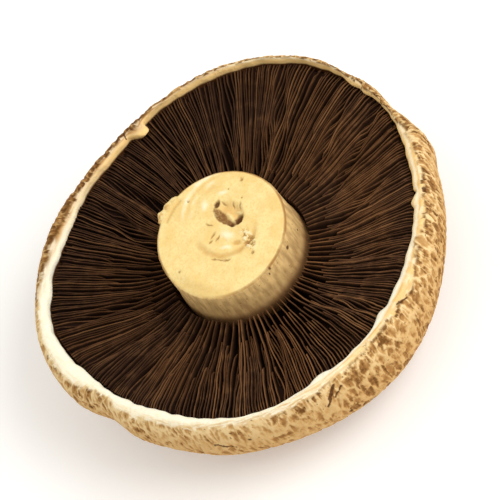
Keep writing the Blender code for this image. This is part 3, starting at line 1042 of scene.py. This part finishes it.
def make_stem_carrier(columns):
    """The stem before its relief: a stub from the flesh, cut across at its top."""
    side_top = STEM_TOP - STEM_EDGE_ROUND
    middle = (FLESH_DEPTH + STEM_TOP) / 2
    quarter = quarter_turn(8)
    line = [(0.0, FLESH_DEPTH), (STEM_RADIUS - 1 * MM, FLESH_DEPTH), (STEM_RADIUS, FLESH_DEPTH + 1 * MM)]
    line += [(STEM_RADIUS + STEM_SWELL, middle), (STEM_RADIUS, side_top)]
    line += [
        (STEM_RADIUS - STEM_EDGE_ROUND * (1 - math.cos(t)), side_top + STEM_EDGE_ROUND * math.sin(t))
        for t in quarter[1:]
    ]
    line += [(0.0, STEM_TOP)]
    radius, height, length = even_steps(line, 0.36 * MM)
    edge_length = (STEM_RADIUS - 1 * MM) + 1 * MM * math.sqrt(2) + (side_top - FLESH_DEPTH - 1 * MM)
    angle, radius, height, past_edge = round_grid(columns, radius, height, length - edge_length)
    lobes = radius * (wave_sum(STEM_WAVES, angle) + 1)
    # The stem widens a little where it meets the gills, and its cut edge is worn round on one side
    flare = 1 - smooth_step(23 * MM, 31 * MM, height)
    flare = flare * smooth_step(FLESH_DEPTH, FLESH_DEPTH + 2 * MM, height)
    lobes = lobes + 0.7 * MM * flare
    worn = np.exp(-(((angle - math.radians(-150)) / 0.7) ** 2))
    worn = worn * smooth_step(side_top - 2 * MM, STEM_TOP, height)
    drop = worn * smooth_step(STEM_RADIUS - 3.5 * MM, STEM_RADIUS, radius) * 1.3 * MM
    # A strip of torn flesh hangs on the cut's edge at one place, with a groove inside it
    strip_middle = 114
    off_strip = np.abs(np.degrees(angle) - strip_middle)
    strip = 1 - smooth_step(12, 17, off_strip + 2.5 * np.sin(angle * 23))
    at_edge = smooth_step(-1.9 * MM, -0.9 * MM, past_edge) * (1 - smooth_step(0.9 * MM, 1.7 * MM, past_edge))
    bumps = wave_sum(((27, 0.5, 0.4), (43, 0.3, 1.9), (17, 0.4, 3.0)), angle)
    torn = strip * at_edge
    lobes = lobes + torn * (bumps * 0.4 + 1.5) * MM
    drop = drop + torn * (0.35 - bumps * 0.3) * MM
    groove = strip * np.exp(-(((past_edge - 2.2 * MM) / (0.4 * MM)) ** 2))
    drop = drop + groove * 0.5 * MM
    x = lobes * np.cos(angle)
    y = lobes * np.sin(angle)
    height = height + smooth_step(FLESH_DEPTH, STEM_TOP, height) * y * math.tan(STEM_CUT_SLOPE) - drop
    points = np.stack([x + STEM_CENTRE[0], y + STEM_CENTRE[1], height], axis=-1)
    numbers = {
        "face": np.stack([x, y, 0 * x], axis=-1),
        "cut": smooth_step(0.2 * MM, 0.9 * MM, past_edge),
        "edge": past_edge,
        "sharp": 1 - np.exp(-(((angle - math.radians(-160)) / 0.8) ** 2)),
        "torn": torn,
        "groove": groove,
    }
    return round_mesh("stem_carrier", points, numbers)


def stem_shape():
    """The tree that cuts the pit and cracks into the stem's face and roughens its side."""
    tree = ShapeTree("Stem relief", {"Pit depth": "Float"})
    face = cut_pattern(tree)
    spot = tree.node("GeometryNodeInputPosition")
    strand = tree.vector("MULTIPLY", spot, (1.0, 1.0, 0.3))
    fibre = (tree.noise(strand, 2.4 * MM, 2.0) - 0.5) * (0.35 * MM) * (1 - face.top)
    grain = (tree.noise(spot, 2.6 * MM, 3.0) - 0.5) * (0.4 * MM) * face.top
    lumps = (tree.noise(spot, 2.2 * MM, 2.0) - 0.5) * (0.7 * MM) * tree.number("torn")
    depth = tree.input("Pit depth")
    relief = (
        face.pale * (0.08 * MM)
        + face.fold * depth * 0.5
        + face.crumbs * (0.3 * MM)
        - face.pit * depth
        - face.teeth * (0.6 * MM)
        - face.strands * (0.3 * MM)
        - face.cracks * (0.4 * MM)
        - face.smile * (0.25 * MM)
        - face.shade * (0.08 * MM)
    )
    lift = tree.join(0.0, 0.0, relief + grain - 0.25 * MM)
    offset = tree.vector("ADD", lift, tree.scaled(tree.node("GeometryNodeInputNormal"), fibre + lumps))
    tree.end(tree.input("Mesh"), {"Offset": offset})
    return tree


def stem_material(colours):
    material, sheet = new_material("stem_flesh")
    face = cut_pattern(sheet)
    spot = sheet.node("ShaderNodeTexCoord").output("Object")
    fine = sheet.noise(spot, 0.6 * MM, 3.0, 0.7)
    cloud = sheet.noise(spot, 5 * MM, 3.0)
    # On the cut face, the shade rings, the hollow's darkening, its near wall and its dark ends are painted
    # shade, and the crease is partly a brown line and partly painted shade
    cut = sheet.layered(
        colours.cut_light,
        (smooth_step(0.38, 0.66, cloud) * 0.6, colours.cut_deep),
        (smooth_step(0.46, 0.66, fine) * 0.6, colours.cut_deep),
        (face.shade * 0.5, colours.cut_shade),
        (face.pale * 0.85, colours.cut_pale),
        (face.smile * 0.75, colours.smile),
        (face.pit * 0.7, colours.cut_shade),
        (face.strands * 0.7, colours.bruise),
        (face.wall * (smooth_step(0.3, 0.6, fine) * 0.3 + 0.7), colours.hollow),
        (face.fold * 0.9, colours.cut_light),
        (face.cracks * 0.7, colours.bruise),
        (face.crumbs * 0.7, colours.cut_pale),
        (face.teeth * 0.95, colours.pit),
    )
    # The side: long faint strands, and darker toward the foot, painted shade where it sinks among the gills
    fibre = sheet.noise(sheet.vector("MULTIPLY", spot, (1.0, 1.0, 0.22)), 1.3 * MM, 3.0, 0.55)
    height = sheet.parts(spot)[2]
    low = 1 - smooth_step(25 * MM, 36 * MM, height + (cloud - 0.5) * (6 * MM))
    side = sheet.layered(
        colours.side_light,
        (smooth_step(0.35, 0.7, fibre) * 0.6, colours.side_deep),
        (low * 0.6, colours.side_deep),
        ((1 - smooth_step(26 * MM, 29 * MM, height)) * 0.8, colours.pit),
        (smooth_step(0.68, 0.74, sheet.noise(spot, 1.2 * MM, 1.0)) * 0.6, colours.bruise),
    )
    side_marks = []
    for degrees, z, across, along in STEM_MARKS:
        x = STEM_CENTRE[0] + STEM_RADIUS * math.cos(math.radians(degrees))
        y = STEM_CENTRE[1] + STEM_RADIUS * math.sin(math.radians(degrees))
        side_marks.append(((x, y, z * MM), across, along))
    # The strip of torn flesh with the brown groove inside it, and the line along the cut's sharp edge
    torn = sheet.number("torn")
    torn_flesh = sheet.mix(smooth_step(0.4, 0.58, face.crumb_noise), colours.smile, colours.cut_light)
    line = 1 - smooth_step(0.1 * MM, 0.65 * MM, (sheet.number("edge") - 0.6 * MM).math("ABSOLUTE"))
    line = line * sheet.number("sharp") * (smooth_step(0.36, 0.55, cloud) * 0.4 + 0.6)
    colour = sheet.layered(
        side,
        (face.top, cut),
        (torn, torn_flesh),
        (sheet.number("groove") * 0.45, colours.smile),
        (line * (1 - torn) * 0.85, colours.bruise),
        (spots(sheet, spot, side_marks, 0.5, 1.0) * 0.9, colours.pit),
    )
    height_map = fine * 0.6 + fibre * (1 - face.top) * 0.6 + cloud * 0.3
    finish_material(sheet, colour, 0.7, height_map, 0.2 * MM, soft_light=0.1, gloss=0.12)
    return material


class StemSettings(bpy.types.PropertyGroup):
    columns: IntProperty(name="Columns", description="Faces round the stem", default=300, min=48)
    pit_depth: size_setting("Pit depth", "How deep the hollow in the cut face is", 1.0 * MM)
    cut_light: colour_setting("Cut", "The cut face", 244, 221, 156)
    cut_deep: colour_setting("Cut, deep", "Darker flesh on the cut face", 234, 198, 122)
    cut_pale: colour_setting("Cut, pale", "Paler swirls on the cut face", 253, 242, 208)
    cut_shade: colour_setting("Cut, shaded", "Hollows in the cut face", 222, 178, 108)
    side_light: colour_setting("Side", "The stem's side", 242, 204, 138)
    side_deep: colour_setting("Side, deep", "The side's darker strands", 152, 111, 67)
    bruise: colour_setting("Bruise", "Cracks and the cut's edge", 150, 102, 50)
    # Painted shade: the hollow's near wall and dark ends, and partly the crease; the dark ends' colour also
    # darkens the foot and marks the side's dark spots
    smile: colour_setting("Crease", "The long crease under the hollow", 206, 158, 88)
    hollow: colour_setting("Hollow", "The hollow's near wall", 130, 90, 48)
    pit: colour_setting("Pit", "The dark ends of the hollow", 92, 54, 26)


class MUSHROOM_OT_stem(bpy.types.Operator):
    """Make the stem: its cut face with a hollow in it, and its fibrous side"""

    bl_idname = "mushroom.stem"
    bl_label = "Stem"

    def execute(self, context):
        settings = context.scene.mushroom_stem
        carrier = make_stem_carrier(settings.columns)
        stem = stem_shape().grow(
            "stem_flesh", carrier, stem_material(settings), {"Pit depth": settings.pit_depth}
        )
        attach(stem, "root")
        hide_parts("stem")
        return {"FINISHED"}


class StageSettings(bpy.types.PropertyGroup):
    lens: FloatProperty(name="Lens", description="Focal length", default=200.0, unit="CAMERA")
    key: FloatProperty(name="Key light", description="Power of the main light", default=5.8, unit="POWER")
    fill: FloatProperty(name="Surrounding light", description="Strength of the pale surround", default=0.7)
    fill_colour: FloatVectorProperty(
        name="Surround", description="The pale surround's colour", subtype="COLOR", default=(1.0, 0.965, 0.9)
    )
    floor: FloatVectorProperty(
        name="Floor", description="The floor's colour", subtype="COLOR", default=(0.92, 0.92, 0.92)
    )
    floor_glow: FloatProperty(
        name="Floor glow", description="Light that comes through the floor, as on a light table", default=0.2
    )


class MUSHROOM_OT_stage(bpy.types.Operator):
    """Make the stage: a pale floor, soft light and the camera"""

    bl_idname = "mushroom.stage"
    bl_label = "Stage"

    def execute(self, context):
        settings = context.scene.mushroom_stage
        self.make_floor(context, settings)
        self.make_lights(context, settings)
        self.make_camera(context, settings)
        context.scene.view_settings.view_transform = "Standard"
        return {"FINISHED"}

    def make_floor(self, context, settings):
        reach = 3.0
        mesh = bpy.data.meshes.new("floor")
        corners = [(-reach, -reach, 0), (reach, -reach, 0), (reach, reach, 0), (-reach, reach, 0)]
        mesh.from_pydata(corners, [], [(0, 1, 2, 3)])
        material, sheet = new_material("floor")
        shader = sheet.node(
            "ShaderNodeBsdfPrincipled",
            {},
            {
                "Base Color": opaque(settings.floor),
                "Roughness": 0.9,
                "Emission Color": opaque(settings.floor),
                "Emission Strength": settings.floor_glow,
            },
        )
        sheet.node("ShaderNodeOutputMaterial", {}, {"Surface": shader})
        mesh.materials.append(material)
        floor = bpy.data.objects.new("floor", mesh)
        context.scene.collection.objects.link(floor)

    def make_lights(self, context, settings):
        aim = Vector((0, 0, CAP_DEPTH))
        for name, place, power, size in (
            ("right_light", Vector((0.56, -0.42, 0.66)), settings.key, 0.6),
            ("left_light", Vector((-0.45, 0.45, 0.70)), settings.key * 0.15, 0.9),
        ):
            lamp = bpy.data.lights.new(name, "AREA")
            lamp.energy = power
            lamp.size = size
            light = bpy.data.objects.new(name, lamp)
            light.matrix_world = Matrix.LocRotScale(place, (aim - place).to_track_quat("-Z", "Y"), None)
            context.scene.collection.objects.link(light)
        world = bpy.data.worlds.new("surround")
        world.use_nodes = True
        sky = world.node_tree.nodes["Background"]
        sky.inputs["Color"].default_value = opaque(settings.fill_colour)
        sky.inputs["Strength"].default_value = settings.fill
        context.scene.world = world

    def make_camera(self, context, settings):
        lens = bpy.data.cameras.new("camera")
        lens.lens = settings.lens
        lens.sensor_width = FILM_WIDTH
        lens.clip_end = 10.0
        camera = bpy.data.objects.new("camera", lens)
        forward = Vector((0, math.cos(CAMERA_ELEVATION), -math.sin(CAMERA_ELEVATION)))
        level_right = Vector((1, 0, 0))
        level_up = level_right.cross(forward)
        right = level_right * math.cos(CAMERA_TURN) - level_up * math.sin(CAMERA_TURN)
        up = level_right * math.sin(CAMERA_TURN) + level_up * math.cos(CAMERA_TURN)
        turned = Matrix((right, up, -forward)).transposed()
        place = CAMERA_AIM - forward * CAMERA_DISTANCE
        camera.matrix_world = Matrix.LocRotScale(place, turned.to_quaternion(), None)
        context.scene.collection.objects.link(camera)
        context.scene.camera = camera


class MUSHROOM_PT_panel(bpy.types.Panel):
    """The mushroom's settings and the buttons that make its pieces"""

    bl_idname = "MUSHROOM_PT_panel"
    bl_label = "Portobello Mushroom"
    bl_space_type = "VIEW_3D"
    bl_region_type = "UI"
    bl_category = "Mushroom"

    def draw(self, context):
        scene = context.scene
        for settings, operator in (
            (scene.mushroom_cap, MUSHROOM_OT_cap),
            (scene.mushroom_gills, MUSHROOM_OT_gills),
            (scene.mushroom_stem, MUSHROOM_OT_stem),
            (scene.mushroom_stage, MUSHROOM_OT_stage),
        ):
            box = self.layout.box()
            for name in settings.__annotations__:
                box.prop(settings, name)
            box.operator(operator.bl_idname)


CLASSES = (
    CapSettings,
    GillSettings,
    StemSettings,
    StageSettings,
    MUSHROOM_OT_cap,
    MUSHROOM_OT_gills,
    MUSHROOM_OT_stem,
    MUSHROOM_OT_stage,
    MUSHROOM_PT_panel,
)


SETTINGS = {
    "mushroom_cap": CapSettings,
    "mushroom_gills": GillSettings,
    "mushroom_stem": StemSettings,
    "mushroom_stage": StageSettings,
}


def register():
    for cls in CLASSES:
        bpy.utils.register_class(cls)
    for name, settings in SETTINGS.items():
        setattr(bpy.types.Scene, name, PointerProperty(type=settings))


def unregister():
    for name in SETTINGS:
        delattr(bpy.types.Scene, name)
    for cls in reversed(CLASSES):
        bpy.utils.unregister_class(cls)


def main():
    register()
    bpy.ops.mushroom.stage()
    bpy.ops.mushroom.cap()
    bpy.ops.mushroom.gills()
    bpy.ops.mushroom.stem()


if __name__ == "__main__":
    main()
